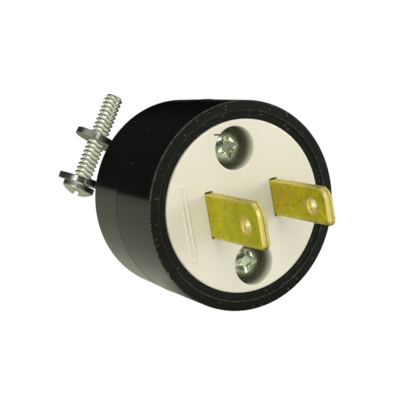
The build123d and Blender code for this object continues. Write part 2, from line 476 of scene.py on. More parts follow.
@dataclass(frozen=True)
class BlackPlastic:
    """Glossy moulded black with a little dust. A mark of 1 is the duller rim with its fine radial
    moulding streaks, and a higher mark, up to the top of its span, is a crest with a painted highlight."""

    effects: Effects
    colour: tuple = (0.0045, 0.0048, 0.0044)
    rim_colour: tuple = (0.0105, 0.0122, 0.0084)
    # edge: the painted highlight colour that the rim's crests take in streaks
    edge: tuple = (0.075, 0.082, 0.060)
    dust: tuple = (0.22, 0.23, 0.18)
    full_highlight: float = 2.4
    streak_radius: float = 0.0166
    streak_length: float = 6.0

    def build(self) -> bpy.types.Material:
        """Makes the material: streaks, a painted highlight on crests and grit where the mark asks for them, and
        dust specks all over.
        """
        shader = Shader("black_plastic")
        place, mark = shader.object_place(), shader.mark()
        cloud = shader.effect(self.effects.mottle, place, Scale=200.0, Detail=2.0, Contrast=1.2)
        specks = shader.effect(self.effects.specks, place, Scale=620.0, Size=0.12, Share=0.09)
        grit = shader.effect(self.effects.specks, place, Scale=1900.0, Size=0.40, Share=0.12)
        round_place = self._radial_place(shader, place)
        streaks = shader.effect(self.effects.mottle, round_place, Scale=4200.0, Detail=3.0, Contrast=2.6)
        lit = shader.together("MULTIPLY", streaks, mark)
        base = shader.blend(lit, self.colour, self.rim_colour)
        # painted highlight: marks above 1 blend the crests towards the lighter edge colour
        crest = shader.scaled(mark, 0.0, 0.9, (1.0, self.full_highlight))
        base = shader.blend(shader.together("MULTIPLY", crest, streaks), base, self.edge)
        gritty = shader.together("MULTIPLY", grit, shader.scaled(mark, 0.0, 0.6))
        dusty = shader.together("MAXIMUM", shader.together("MULTIPLY", specks, 0.6), gritty)
        rough = shader.together("ADD", shader.scaled(cloud, 0.10, 0.13), shader.scaled(mark, 0.0, 0.22))
        shader.relief(lit, 0.00001, 0.6)
        tinted = shader.blend(dusty, base, self.dust)
        shader.set(Base_Color=tinted, Roughness=rough, IOR=1.5, Specular_IOR_Level=0.18)
        return shader.material

    def _radial_place(self, shader: Shader, place: Socket) -> Socket:
        """A place that runs round the plug's axis and, streak_length times slower, out from it.

        Formula: the angle about the Y axis times the rim's radius, and the distance from the axis over the
        streaks' length.

        Args:
            shader: the material in hand.
            place: the point's place.
        Returns:
            The new place, for streaks that point at the axis.
        """
        x, _, z = shader.components(place)
        angle = shader.together("ARCTAN2", x, z)
        squares = shader.together(
            "ADD", shader.together("MULTIPLY", x, x), shader.together("MULTIPLY", z, z)
        )
        joined = shader.add("CombineXYZ")
        shader.feed(shader.together("MULTIPLY", angle, self.streak_radius), joined.inputs[0])
        out = shader.together("DIVIDE", shader.together("SQRT", squares), self.streak_length)
        shader.feed(out, joined.inputs[1])
        return joined.outputs[0]


@dataclass(frozen=True)
class CreamPlastic:
    """Moulded cream plastic, slightly soiled. A mark of 1 is the depth of a well or a slot, where little
    light comes, and there the colour is painted darker as shade.

    The nick is given by its middle's x and z, its half length and its half width, in metres.
    """

    effects: Effects
    colour: tuple = (0.80, 0.765, 0.62)
    soiled: tuple = (0.70, 0.66, 0.48)
    dirt: tuple = (0.035, 0.036, 0.020)
    # hollow: the painted shade colour of the depths of wells and slots
    hollow_shade: tuple = (0.086, 0.093, 0.046)
    nick: tuple = (-0.00285, 0.01305, 0.00066, 0.00013)
    nick_tilt: float = 0.23

    def build(self) -> bpy.types.Material:
        """Makes the material: cloudy soiling, painted shade in the hollows, a few specks, one nick and fine
        texture.
        """
        shader = Shader("cream_plastic")
        place, mark = shader.object_place(), shader.mark()
        cloud = shader.effect(self.effects.mottle, place, Scale=160.0, Detail=4.0, Contrast=1.6)
        fine = shader.effect(self.effects.mottle, place, Scale=2600.0, Detail=2.0, Contrast=1.0)
        specks = shader.effect(self.effects.specks, place, Scale=420.0, Size=0.07, Share=0.12)
        base = shader.blend(shader.scaled(cloud, 0.0, 0.35), self.colour, self.soiled)
        # painted shade: the higher the mark, the darker the colour
        base = shader.blend(mark, base, self.hollow_shade)
        spots = shader.together("MULTIPLY", specks, 0.55)
        spots = shader.together("MAXIMUM", spots, self._nick_mask(shader, place))
        shader.relief(fine, 0.000006, 0.3)
        rough = shader.scaled(cloud, 0.13, 0.20)
        shader.set(Base_Color=shader.blend(spots, base, self.dirt), Roughness=rough, IOR=1.5)
        return shader.material

    def _nick_mask(self, shader: Shader, place: Socket) -> Socket:
        """The short dark nick beside the upper well: 1 inside a small, slightly tilted bar, 0 outside.

        Args:
            shader: the material in hand.
            place: the point's place.
        Returns:
            The mask.
        """
        across, up, half_length, half_width = self.nick
        x, _, z = shader.components(place)
        off = shader.together("SUBTRACT", x, across)
        tilt = shader.together("MULTIPLY", off, self.nick_tilt)
        rise = shader.together("ADD", shader.together("SUBTRACT", z, up), tilt)
        in_length = shader.together("LESS_THAN", shader.together("ABSOLUTE", off), half_length)
        in_width = shader.together("LESS_THAN", shader.together("ABSOLUTE", rise), half_width)
        return shader.together("MULTIPLY", in_length, in_width)


@dataclass(frozen=True)
class Brass:
    """Rolled brass, olive where it has tarnished, bright where the mark says that it is worn."""

    effects: Effects
    colour: tuple = (0.82, 0.77, 0.020)
    bright: tuple = (1.0, 0.83, 0.36)
    tarnish: tuple = (0.46, 0.43, 0.012)
    heated: tuple = (0.66, 0.44, 0.050)
    pit: tuple = (0.05, 0.035, 0.006)

    def build(self) -> bpy.types.Material:
        """Makes the material: tarnish, orange stains, dark pits, bright grains and bright worn edges."""
        shader = Shader("brass")
        place, mark = shader.object_place(), shader.mark()
        cloud = shader.effect(self.effects.mottle, place, Scale=330.0, Detail=6.0, Contrast=2.2)
        fine = shader.effect(self.effects.mottle, place, Scale=2600.0, Detail=3.0, Contrast=1.6)
        stains = shader.effect(self.effects.mottle, place, Scale=240.0, Detail=5.0, Contrast=3.4)
        pits = shader.effect(self.effects.specks, place, Scale=1650.0, Size=0.50, Share=0.18)
        grains = shader.effect(self.effects.specks, place, Scale=1500.0, Size=0.36, Share=0.10)
        base = shader.blend(shader.scaled(cloud, 0.0, 0.8), self.colour, self.tarnish)
        base = shader.blend(shader.scaled(fine, -0.2, 0.75), base, self.tarnish)
        base = shader.blend(shader.scaled(stains, -0.3, 0.45), base, self.heated)
        base = shader.blend(shader.together("MULTIPLY", grains, 0.6), base, self.bright)
        base = shader.blend(mark, base, self.bright)
        dark = shader.together("MULTIPLY", pits, shader.scaled(cloud, 0.4, 0.9))
        rough = shader.together("ADD", shader.scaled(cloud, 0.34, 0.46), shader.scaled(mark, 0.0, 0.10))
        shader.relief(shader.together("SUBTRACT", shader.scaled(fine, 0.0, 0.4), pits), 0.00003, 0.5)
        shader.set(Base_Color=shader.blend(dark, base, self.pit), Roughness=rough, Metallic=1.0)
        return shader.material


@dataclass(frozen=True)
class PlatedSteel:
    """Plated steel: a bright or dull plating with small stains. The mark darkens it towards the stain colour
    and dulls it.
    """

    effects: Effects
    name: str
    colour: tuple
    stain: tuple
    roughness: tuple[float, float]
    stains: float = 0.5
    bump: float = 0.000006
    mark_darkening: float = 1.0
    dulling: float = 0.1

    def build(self) -> bpy.types.Material:
        """Makes the material: cloudy stains, fine pits and uneven gloss."""
        shader = Shader(self.name)
        place, mark = shader.object_place(), shader.mark()
        cloud = shader.effect(self.effects.mottle, place, Scale=520.0, Detail=5.0, Contrast=2.4)
        fine = shader.effect(self.effects.mottle, place, Scale=3400.0, Detail=3.0, Contrast=1.6)
        pits = shader.effect(self.effects.specks, place, Scale=1700.0, Size=0.2, Share=0.1)
        base = shader.blend(shader.scaled(cloud, 0.0, self.stains), self.colour, self.stain)
        base = shader.blend(shader.together("MULTIPLY", pits, 0.7), base, self.stain)
        base = shader.blend(shader.scaled(mark, 0.0, self.mark_darkening), base, self.stain)
        dull = shader.scaled(mark, 0.0, self.dulling)
        rough = shader.together("ADD", shader.scaled(cloud, *self.roughness), dull)
        shader.relief(fine, self.bump, 0.5)
        shader.set(Base_Color=base, Roughness=rough, Metallic=1.0)
        return shader.material


@dataclass(frozen=True)
class InnerMoulding:
    """Matt grey-brown moulding of the hidden terminal block."""

    effects: Effects
    colour: tuple = (0.20, 0.19, 0.165)
    darker: tuple = (0.13, 0.12, 0.10)

    def build(self) -> bpy.types.Material:
        """Makes the material: a cloudy matt colour with fine grain."""
        shader = Shader("inner_moulding")
        place = shader.object_place()
        cloud = shader.effect(self.effects.mottle, place, Scale=300.0, Detail=5.0, Contrast=1.8)
        fine = shader.effect(self.effects.mottle, place, Scale=4000.0, Detail=2.0, Contrast=1.4)
        shader.relief(fine, 0.00001, 0.4)
        tinted, rough = shader.blend(cloud, self.colour, self.darker), shader.scaled(cloud, 0.5, 0.65)
        shader.set(Base_Color=tinted, Roughness=rough)
        return shader.material


class Finishes:
    """All finishes of the plug, each made once."""

    def __init__(self) -> None:
        """Builds the shared effects and every material."""
        effects = Effects()
        self.black = BlackPlastic(effects).build()
        self.cream = CreamPlastic(effects).build()
        self.brass = Brass(effects).build()
        self.zinc = PlatedSteel(
            effects,
            "zinc_plating",
            colour=(0.84, 0.90, 0.74),
            stain=(0.42, 0.46, 0.33),
            roughness=(0.15, 0.27),
            stains=0.6,
            mark_darkening=0.0,
            dulling=0.03,
        ).build()
        self.nickel = PlatedSteel(
            effects,
            "nickel_plating",
            colour=(0.93, 0.92, 0.87),
            stain=(0.28, 0.27, 0.235),
            roughness=(0.10, 0.18),
            stains=0.2,
            mark_darkening=0.8,
            dulling=0.26,
        ).build()
        self.silver_screw = PlatedSteel(
            effects, "silver_screw", (0.72, 0.72, 0.69), (0.5, 0.5, 0.46), (0.22, 0.36)
        ).build()
        self.brass_screw = PlatedSteel(
            effects, "brass_screw", (0.72, 0.56, 0.22), (0.48, 0.36, 0.12), (0.24, 0.38)
        ).build()
        self.inner = InnerMoulding(effects).build()


@dataclass
class Shell:
    """Black moulded cup: stepped rim, parting edge, screw bosses and the cord's window."""

    bore: float = 14.93
    step: float = 16.2
    step_depth: float = 0.4
    rim: float = 17.96
    parting: float = 17.6
    parting_depth: float = 13.3
    flash: float = 0.05
    rear: float = 17.155
    length: float = 23.5
    ledge_depth: float = 6.0
    chamber: float = 14.0
    wall: float = 2.5
    window: tuple[float, float, float] = (14.6, 11.1, 1.5)
    window_edge: float = 0.3
    window_ring: float = 11.6
    boss: float = 2.55
    boss_hole: float = 1.58
    boss_front: float = 10.0
    boss_hole_end: float = 15.4
    web: float = 2.2
    web_middle: float = 15.0
    joint: float = 0.3
    columns: int = 288
    rim_mark: float = 1.0
    # edge_mark: the rim's two outer corners, which the black finish paints with a highlight
    edge_mark: float = 2.4
    seam_mark: float = 0.9

    @property
    def inner_end(self) -> float:
        """Depth of the chamber's rear wall."""
        return self.length - self.wall

    def window_radius(self, angles: np.ndarray, grow: float) -> np.ndarray:
        """Distance from the axis to the turned, round-cornered window at each angle.

        Formula: where the ray meets a straight side it is the side's half length over the cosine, and in
        a corner it is the far crossing of the ray with the corner's circle.

        Args:
            angles: turns about the plug's axis, in radians.
            grow: how far the outline is pushed out.
        Returns:
            The radii.
        """
        half_u, half_v, corner = self.window[0] / 2, self.window[1] / 2, self.window[2]
        local = angles + CLAMP_TURN
        u, v = np.abs(np.cos(local)), np.abs(np.sin(local))
        side = np.minimum((half_u + grow) / np.maximum(u, 1e-9), (half_v + grow) / np.maximum(v, 1e-9))
        centre_u, centre_v = half_u - corner, half_v - corner
        along = centre_u * u + centre_v * v
        inside = along**2 - centre_u**2 - centre_v**2 + (corner + grow) ** 2
        round_part = along + np.sqrt(np.maximum(inside, 0))
        in_corner = (side * u > centre_u) & (side * v > centre_v)
        return np.where(in_corner, round_part, side)

    def _window_wall(self, angles: np.ndarray) -> np.ndarray:
        """Rings of the window's wall, from its rounded outer edge in to the chamber.

        Args:
            angles: turns about the plug's axis, in radians.
        Returns:
            The points (rings, angles, 3).
        """
        lip = np.linspace(0, np.pi / 2, 5)
        small = self.window_edge / 2
        grow = np.concatenate([self.window_edge * (1 - np.sin(lip)), [0.0, 0.0, small]])
        depth = self.length - self.window_edge * (1 - np.cos(lip))
        inward = [self.length - 4 * self.window_edge, self.inner_end + small, self.inner_end]
        depth = np.concatenate([depth, inward])
        radius = np.array([self.window_radius(angles, g) for g in grow])
        return Axes.PLUG.place(radius * np.cos(angles), radius * np.sin(angles), depth[:, None])

    def wall_profile(self) -> np.ndarray:
        """Section of the cup from the inner rear face, out by the rim, to the outer rear face.

        A row just behind the rim's corner keeps the rim's mark off the side.
        """
        corners = [
            (self.window_ring, self.inner_end),
            (self.chamber, self.inner_end),
            (self.chamber, self.ledge_depth),
            (self.bore, self.ledge_depth),
            (self.bore, self.step_depth),
            (self.step, self.step_depth),
            (self.step, 0.0),
            (self.rim, 0.0),
            (self.rim - 0.015, 0.56),
            (self.parting + 0.004, self.parting_depth - 0.16),
            (self.parting + self.flash, self.parting_depth),
            (self.parting - 0.02, self.parting_depth + 0.12),
            (self.rear, self.length),
            (self.window_ring, self.length),
        ]
        radii = [0.5, 0.15, 0.1, 0.12, 0.05, 0.14, 0.28, 0.0, 0.0, 0.03, 0.0, 0.6]
        return rounded(corners, radii, 7)

    def _marks(self, profile: np.ndarray) -> np.ndarray:
        """Mark of each point of the section: the rim, its two outer corners, which take the painted highlight,
        and the parting edge.

        Args:
            profile: the section's radii and depths.
        Returns:
            One number for each point.
        """
        radius, depth = profile.T
        rim = (depth < 0.55) & (radius > self.bore - 0.01)
        seam = (np.abs(depth - self.parting_depth) < 0.05) & (radius > self.parting)
        # painted highlight: the step's corner and the rim's outer corner
        edges = (depth < 0.3) & ((np.abs(radius - self.step) < 0.13) | (radius > self.rim - 0.16))
        elsewhere = np.where(rim, self.rim_mark, np.where(seam, self.seam_mark, 0.0))
        return np.where(edges, self.edge_mark, elsewhere)

    def build(self, finishes: Finishes) -> bpy.types.Object:
        """Makes the cup. Its section runs round the plug, and its two inner ends follow the window."""
        angles = turns(self.columns)
        profile = self.wall_profile()
        points = np.concatenate([Axes.PLUG.place(*lathe(profile, angles)), self._window_wall(angles)])
        marks = np.zeros((len(points), 1))
        marks[: len(profile), 0] = self._marks(profile)
        skin = Skin("shell_cup")
        skin.add(points, wrap_rows=True, wrap_columns=True, mark=marks)
        for height in (SCREW_OFFSET, -SCREW_OFFSET):
            self._add_boss(skin, height)
        piece = skin.build()
        settle(piece, Body.PLUG, "black_body", finishes.black, "shell")
        return piece

    def _add_boss(self, skin: Skin, height: float) -> None:
        """Adds one screw boss and its web: a drilled column, and a slab that runs out into the wall.

        Formula: the column is a section turned about its axis. The slab is a square ring at two heights,
        closed by drawing both ends together to one point.

        Args:
            skin: the skin that takes them.
            height: the boss's place above the axis.
        """
        rear = self.inner_end + self.joint
        section = rounded(
            [
                (0.0, self.boss_hole_end),
                (self.boss_hole, self.boss_hole_end),
                (self.boss_hole, self.boss_front),
                (self.boss, self.boss_front),
                (self.boss, rear),
                (0.0, rear),
            ],
            [0.0, 0.15, 0.2, 0.0],
        )
        u, v, w = lathe(section, turns(64))
        skin.add(Axes.PLUG.place(u, v + height, w), wrap_columns=True)
        half, outer = self.web / 2, np.sign(height) * (self.chamber + 0.4)
        spread = np.array([0.0, 1.0, 1.0, 0.0])[:, None]
        across = np.array([-half, half, half, -half]) * spread
        up = np.array([height, height, outer, outer])[:, None]
        along = np.array([self.boss_front, self.boss_front, rear, rear]) - self.web_middle
        skin.add(Axes.PLUG.place(across, up, along * spread + self.web_middle), wrap_columns=True)


@dataclass
class FaceInsert:
    """Cream disc: four equal sectors, each with a blade slot or a screw well, inside a round edge.

    The slot's steps are those of half a long side, a corner, a short side and a whole long side: they and the
    sector's steps come to the same number of points.
    """

    radius: float = 14.79
    edge: float = 0.3
    depth: float = 6.0
    slot: tuple[float, float] = (1.53, 8.25)
    slot_corner: float = 0.12
    slot_lip: float = 0.06
    wide: float = 7.8
    narrow: float = 6.35
    headroom: float = 0.24
    pocket: float = 10.5
    pocket_front: float = 3.6
    well: float = 3.7
    well_draft: float = 0.08
    well_wall: float = 3.6
    lip: float = 0.22
    screw_hole: float = 1.58
    ray_steps: int = 36
    arc_steps: int = 56
    slot_steps: tuple[int, int, int, int] = (22, 5, 10, 44)
    front_shares: tuple[float, ...] = (0, 0.12, 0.3, 0.5, 0.7, 0.85, 0.95)
    rib_centre: tuple[float, float] = (-11.15, -0.25)
    rib_half_length: float = 6.0
    rib_half_width: float = 0.4
    rib_bead: tuple[float, float] = (0.27, 0.17)

    @property
    def around(self) -> int:
        """Points round one sector and round its hole."""
        return 2 * self.ray_steps + self.arc_steps

    def sector(self, facing: float, radius: float) -> np.ndarray:
        """Outline of one sector: out along one ray, round the arc and back along the other.

        Args:
            facing: direction of the sector's middle, in degrees.
            radius: the arc's radius.
        Returns:
            Points (around, 2), starting at the disc's centre.
        """
        first, last = np.radians(facing - 45), np.radians(facing + 45)
        out = np.arange(self.ray_steps)[:, None] / self.ray_steps
        arc = np.linspace(first, last, self.arc_steps, endpoint=False)
        tips = [radius * np.array([np.cos(angle), np.sin(angle)]) for angle in (first, last)]
        bow = radius * np.stack([np.cos(arc), np.sin(arc)], 1)
        return np.concatenate([out * tips[0], bow, (1 - out) * tips[1]])

    def circle(self, facing: float, centre: tuple[float, float], radius: float) -> np.ndarray:
        """Round hole outline whose first point faces the disc's centre.

        Args:
            facing: direction of the sector's middle, in degrees.
            centre: the hole's centre.
            radius: its radius.
        Returns:
            Points (around, 2).
        """
        angle = np.radians(facing + 180) + turns(self.around)
        return np.array(centre) + radius * np.stack([np.cos(angle), np.sin(angle)], 1)

    def oblong(
        self, facing: float, centre: tuple[float, float], size: tuple[float, float], grow: float
    ) -> np.ndarray:
        """Slot outline with small corners, whose first point is the middle of its side nearest the centre.

        Args:
            facing: 0 for the right sector, 180 for the left one.
            centre: the slot's centre.
            size: its width and height.
            grow: how far the outline is pushed out.
        Returns:
            Points (around, 2), in the same order as those of a sector.
        """
        inner_u, inner_v = (side / 2 - self.slot_corner for side in size)
        turn = self.slot_corner + grow
        half, bends, short, whole = self.slot_steps
        bend = np.linspace(0, np.pi / 2, bends + 1)[:-1]

        def arc(u: float, v: float, start: float) -> np.ndarray:
            """A corner's quarter circle."""
            return np.stack([u + turn * np.cos(start + bend), v + turn * np.sin(start + bend)], 1)

        def run(start: tuple[float, float], end: tuple[float, float], steps: int) -> np.ndarray:
            """Points from start towards end."""
            share = np.linspace(0, 1, steps + 1)[:-1, None]
            return np.array(start) + share * (np.array(end) - np.array(start))

        u, v = inner_u + turn, inner_v + turn
        outline = np.concatenate(
            [
                run((-u, 0), (-u, -inner_v), half),
                arc(-inner_u, -inner_v, np.pi),
                run((-inner_u, -v), (inner_u, -v), short),
                arc(inner_u, -inner_v, -np.pi / 2),
                run((u, -inner_v), (u, inner_v), whole),
                arc(inner_u, inner_v, 0.0),
                run((inner_u, v), (-inner_u, v), short),
                arc(-inner_u, inner_v, np.pi / 2),
                run((-u, inner_v), (-u, 0), half),
            ]
        )
        return np.array(centre) + outline * (1 if facing == 0 else -1)

    def _stack(self, skin: Skin, facing: float, rings: list[tuple[np.ndarray, float, float]]) -> None:
        """Adds one sector: front face, hole wall and rear face as one closed band of rings.

        Args:
            skin: the skin that takes it.
            facing: direction of the sector's middle, in degrees.
            rings: outline, depth and mark of each ring of the hole, from the front to the rear.
        """
        rim = self.sector(facing, self.radius - self.edge)
        first, last = rings[0][0], rings[-1][0]
        rows = [(rim + (first - rim) * t, 0.0, 0.0) for t in self.front_shares]
        rows += rings
        rows += [(last + (rim - last) * t, self.depth, 0.0) for t in (0.5, 1.0)]
        outlines = np.array([row[0] for row in rows])
        depths = np.array([row[1] for row in rows])[:, None]
        marks = np.array([row[2] for row in rows])[:, None]
        points = Axes.PLUG.place(outlines[..., 0], outlines[..., 1], depths)
        skin.add(points, wrap_columns=True, mark=marks)

    def _add_slot(self, skin: Skin, facing: float, width: float) -> None:
        """Adds the sector with a blade's slot: a small lip, the slot, and the pocket for its shoulders.

        Args:
            skin: the skin that takes it.
            facing: 0 for the right sector, 180 for the left one.
            width: the blade's width.
        """
        across = BLADE_SPACING / 2 * (1 if facing == 0 else -1)
        centre, size = (across, self.headroom / 2), (self.slot[0], width + self.headroom)
        rings = [
            (
                self.oblong(facing, centre, size, self.slot_lip * (1 - np.sin(b))),
                self.slot_lip * (1 - np.cos(b)),
                0.0,
            )
            for b in np.linspace(0, np.pi / 2, 6)
        ]
        # painted shade: the slot's depth and the pocket carry a mark of 1, the darkest
        rings.append((self.oblong(facing, centre, size, 0.0), self.pocket_front, 1.0))
        pocket = self.oblong(facing, (across, 0.0), (self.slot[0], self.pocket), 0.0)
        rings += [(pocket, self.pocket_front + 0.02, 1.0), (pocket, self.depth, 0.0)]
        self._stack(skin, facing, rings)

    def _add_well(self, skin: Skin, facing: float) -> None:
        """Adds the sector with a screw's well: rounded lip, wall with a little draft, floor and hole.

        Args:
            skin: the skin that takes it.
            facing: 90 for the upper sector, 270 for the lower one.
        """
        wall = [(self.well - self.well_draft * t, self.well_wall * t) for t in (0.25, 0.5, 0.75)]
        path = rounded(
            [
                (self.well + self.lip, 0.0),
                (self.well, 0.0),
                *wall,
                (self.well - self.well_draft, WELL_DEPTH),
                (self.screw_hole, WELL_DEPTH),
                (self.screw_hole, self.depth),
            ],
            [self.lip, 0.0, 0.0, 0.0, 0.35, 0.1],
        )
        centre = (0.0, SCREW_OFFSET * (1 if facing == 90 else -1))
        # painted shade: each ring of the well carries a mark that darkens it with depth
        self._stack(skin, facing, [(self.circle(facing, centre, r), d, self._well_shade(d)) for r, d in path])

    @staticmethod
    def _well_shade(depth: float) -> float:
        """Painted shade of a well's wall at a depth, as its mark: it rises in the first 2.5 mm, then falls a
        little.
        """
        fall = np.clip((depth - 2.4) / 1.2, 0, 1)
        return float(np.clip((depth - 0.3) / 2.2, 0, 1) ** 0.8 * (1 - 0.2 * fall))

    def build(self, finishes: Finishes) -> bpy.types.Object:
        """Makes the disc from its four sectors, its round edge and the raised rib."""
        skin = Skin("face_disc")
        self._add_slot(skin, 0, self.narrow)
        self._add_slot(skin, 180, self.wide)
        for facing in (90, 270):
            self._add_well(skin, facing)
        inner = self.radius - self.edge
        band = rounded(
            [(inner, 0.0), (self.radius, 0.0), (self.radius, self.depth), (inner, self.depth)],
            [self.edge * 0.98, self.edge * 0.98],
        )
        angles = np.radians(-45) + turns(4 * self.arc_steps)
        skin.add(Axes.PLUG.place(*lathe(band, angles)), wrap_columns=True)
        self._add_rib(skin)
        piece = skin.build()
        settle(piece, Body.PLUG, "cream_face", finishes.cream, "face_insert")
        return piece

    def _add_rib(self, skin: Skin) -> None:
        """Adds the raised outline at the left: a low round bead along a closed long oval.

        Formula: the path is two straight runs joined by half circles, and the bead's section is half an
        ellipse above the face, closed just under it.

        Args:
            skin: the skin that takes it.
        """
        half_length, half_width = self.rib_half_length, self.rib_half_width
        bend = np.linspace(-np.pi / 2, np.pi / 2, 13)
        side = np.linspace(-half_length, half_length, 40)[1:-1]
        still = 0 * side
        right = np.stack([half_width + still, side, 1 + still, still], 1)
        cap = np.stack([-np.sin(bend), np.cos(bend)], 1)
        top = np.concatenate([cap * half_width + [0, half_length], cap], 1)
        left = np.stack([-half_width + still, side[::-1], -1 + still, still], 1)
        foot = np.concatenate([-cap * half_width - [0, half_length], -cap], 1)
        path = np.concatenate([right, top, left, foot])
        turn = np.linspace(0, 2 * np.pi, 17)[:-1]
        across, up = self.rib_bead[0] * np.cos(turn), self.rib_bead[1] * np.maximum(np.sin(turn), -0.3)
        u = self.rib_centre[0] + path[:, 0] + across[:, None] * path[:, 2]
        v = self.rib_centre[1] + path[:, 1] + across[:, None] * path[:, 3]
        skin.add(Axes.PLUG.place(u, v, -up[:, None]), wrap_rows=True, wrap_columns=True)


@dataclass
class Blade:
    """Brass strip folded double: bevelled clipped tip, hole, seam, shoulders and a terminal tab.

    A clip is a run of points, each given by its distance from the tip's end and from the strip's edge. The
    hole's seam is given by its depth and by the heights of its floor and its edge over the middle.
    The layers are the heights of the section's rows over the middle, scaled so that the first is half the
    thickness.
    """

    name: str
    x: float
    width: float
    thickness: float = 1.5
    length: float = 16.4
    upper_clip: tuple = ((1.3, 0.0), (0.38, 0.98), (0.0, 1.8))
    lower_clip: tuple = ((1.0, 0.0), (0.22, 0.68), (0.0, 1.2))
    bevel: tuple[float, float] = (0.34, 0.26)
    fold: float = 0.7
    edge: float = 0.13
    bevel_power: float = 1.3
    seam: tuple[float, float] = (0.07, 0.2)
    seam_flare: float = 2.2
    hole: tuple[float, float, float] = (-12.05, 0.0, 1.55)
    hole_seam: tuple[float, float, float] = (0.12, 0.03, 0.07)
    hole_marks: tuple[float, float] = (0.15, 1.0)
    tip_marks: tuple[float, float] = (0.75, 0.25)
    crest_marks: tuple[float, float] = (0.5, 0.2)
    fold_share: float = 0.6
    leaf_slip: float = 0.12
    slot_end: float = 3.65
    shoulder: tuple[float, float, float] = (3.6, 6.02, 10.4)
    shoulder_hole: tuple[float, float, float] = (4.8, 0.0, 0.02)
    tab: tuple[float, float, float] = (5.98, 17.0, 7.0)
    tab_hole: tuple[float, float, float] = (13.6, 0.0, 1.73)
    layers: tuple[float, ...] = (
        0.75, 0.735, 0.70, 0.66, 0.61, 0.54, 0.49, 0.45, 0.38, 0.30, 0.18, 0.11, 0.07, 0.04, 0.0,
    )  # fmt: skip

    def plate(
        self,
        corners: np.ndarray,
        inset: np.ndarray,
        heights: np.ndarray,
        hole: tuple[float, float, float],
        slip: float,
        mark: np.ndarray,
    ) -> tuple[np.ndarray, np.ndarray]:
        """One pierced plate as a band that is closed both ways round.

        Formula: each row is the convex outline with its sides moved in by their own insets. Its corners
        are where neighbouring moved sides cross, and its points keep their share of their side. The row's
        height is given, and the faces run straight from the outline to the hole.

        Args:
            corners: the outline's corners (n, 2), counterclockwise.
            inset: how far each side moves in, (rows, n), from one broad face to the other.
            heights: height of each row.
            hole: centre along, centre across and radius.
            slip: how far the lower leaf's hole stands off from the upper one's.
            mark: the mark of each row and side, (rows, n).
        Returns:
            The points (rows, columns, 2 and a height) and their marks.
        """
        ways = np.roll(corners, -1, 0) - corners
        unit = ways / np.linalg.norm(ways, axis=1)[:, None]
        normal = np.stack([unit[:, 1], -unit[:, 0]], 1)
        reach = (corners * normal).sum(1) - inset
        n0, n1 = np.roll(normal, 1, 0), normal
        r0, r1 = np.roll(reach, 1, 1), reach
        cross = n0[:, 0] * n1[:, 1] - n0[:, 1] * n1[:, 0]
        along = (r0 * n1[:, 1] - r1 * n0[:, 1]) / cross
        across = (r1 * n0[:, 0] - r0 * n1[:, 0]) / cross
        moved = np.stack([along, across], 2)
        centre = np.array(hole[:2])
        angle = np.unwrap(np.arctan2(*(corners - centre).T[::-1]))
        angle = np.append(angle, angle[0] + 2 * np.pi)
        share, side = [], []
        for number, way in enumerate(ways):
            span = np.linspace(angle[number], angle[number + 1], self._steps(angle, number), endpoint=False)
            ray, start = np.stack([np.cos(span), np.sin(span)], 1), corners[number] - centre
            over = ray[:, 0] * start[1] - ray[:, 1] * start[0]
            share.append(over / (ray[:, 1] * way[0] - ray[:, 0] * way[1]))
            side.append(np.full(len(span), number))
        share, side = np.concatenate(share), np.concatenate(side)
        following = (side + 1) % len(corners)
        outline = moved[:, side] * (1 - share[:, None]) + moved[:, following] * share[:, None]
        marks = mark[:, side] * (1 - share) + mark[:, following] * share
        direction = outline[0] - centre
        turn = np.arctan2(direction[:, 1], direction[:, 0])
        ring = np.stack([np.cos(turn), np.sin(turn)], 1)
        return self._close(outline, heights, marks, centre, ring, hole[2], slip)

    @staticmethod
    def _steps(angle: np.ndarray, number: int) -> int:
        """Number of points on a side, by the angle that it fills as seen from the hole."""
        return max(6, int(np.ceil(np.degrees(angle[number + 1] - angle[number]) / 2.2)))

    def _close(
        self,
        outline: np.ndarray,
        heights: np.ndarray,
        marks: np.ndarray,
        centre: np.ndarray,
        ring: np.ndarray,
        radius: float,
        slip: float,
    ) -> tuple[np.ndarray, np.ndarray]:
        """Adds both broad faces and the hole's wall, with the fold's seam in it, to the outline's rows.

        Args:
            outline, heights, marks: the outer rows.
            centre, ring, radius: the hole's centre, unit directions and radius.
            slip: how far the lower leaf's hole stands off.
        Returns:
            The points (rows, columns, 3) in outline and height, and their marks.
        """
        top, low = heights[0], heights[-1]
        lip = self.edge * 0.7
        bend = np.linspace(0, np.pi / 2, 5)
        grow = lip * (1 - np.sin(bend))
        groove, floor, rim = self.hole_seam
        wall_grow = np.concatenate([grow, [0, groove, groove, 0], grow[::-1]])
        drop = lip * (1 - np.cos(bend))
        wall_height = np.concatenate([top - drop, [rim, floor, -floor, -rim], low + drop[::-1]])
        shift = np.where(wall_height < 0, slip, 0.0)
        wall = centre + (radius + wall_grow)[:, None, None] * ring + np.stack([shift, -shift], 1)[:, None]
        upper = [wall[0] + (outline[0] - wall[0]) * t for t in (0.12, 0.35, 0.65, 0.9)]
        lower = [outline[-1] + (wall[-1] - outline[-1]) * t for t in (0.1, 0.35, 0.65, 0.88)]
        flat = np.concatenate([wall[::-1], np.array(upper), outline, np.array(lower)])
        height = np.concatenate([wall_height[::-1], np.full(4, top), heights, np.full(4, low)])[:, None, None]
        columns = outline.shape[1]
        lips = np.abs(np.abs(wall_height) - top) < lip * 0.9
        worn = np.where(lips, *self.hole_marks)[:, None] + np.zeros(columns)
        face = np.zeros((4, columns))
        mark = np.concatenate([worn, face, marks, face])
        return np.concatenate([flat, np.broadcast_to(height, (*flat.shape[:2], 1))], 2), mark

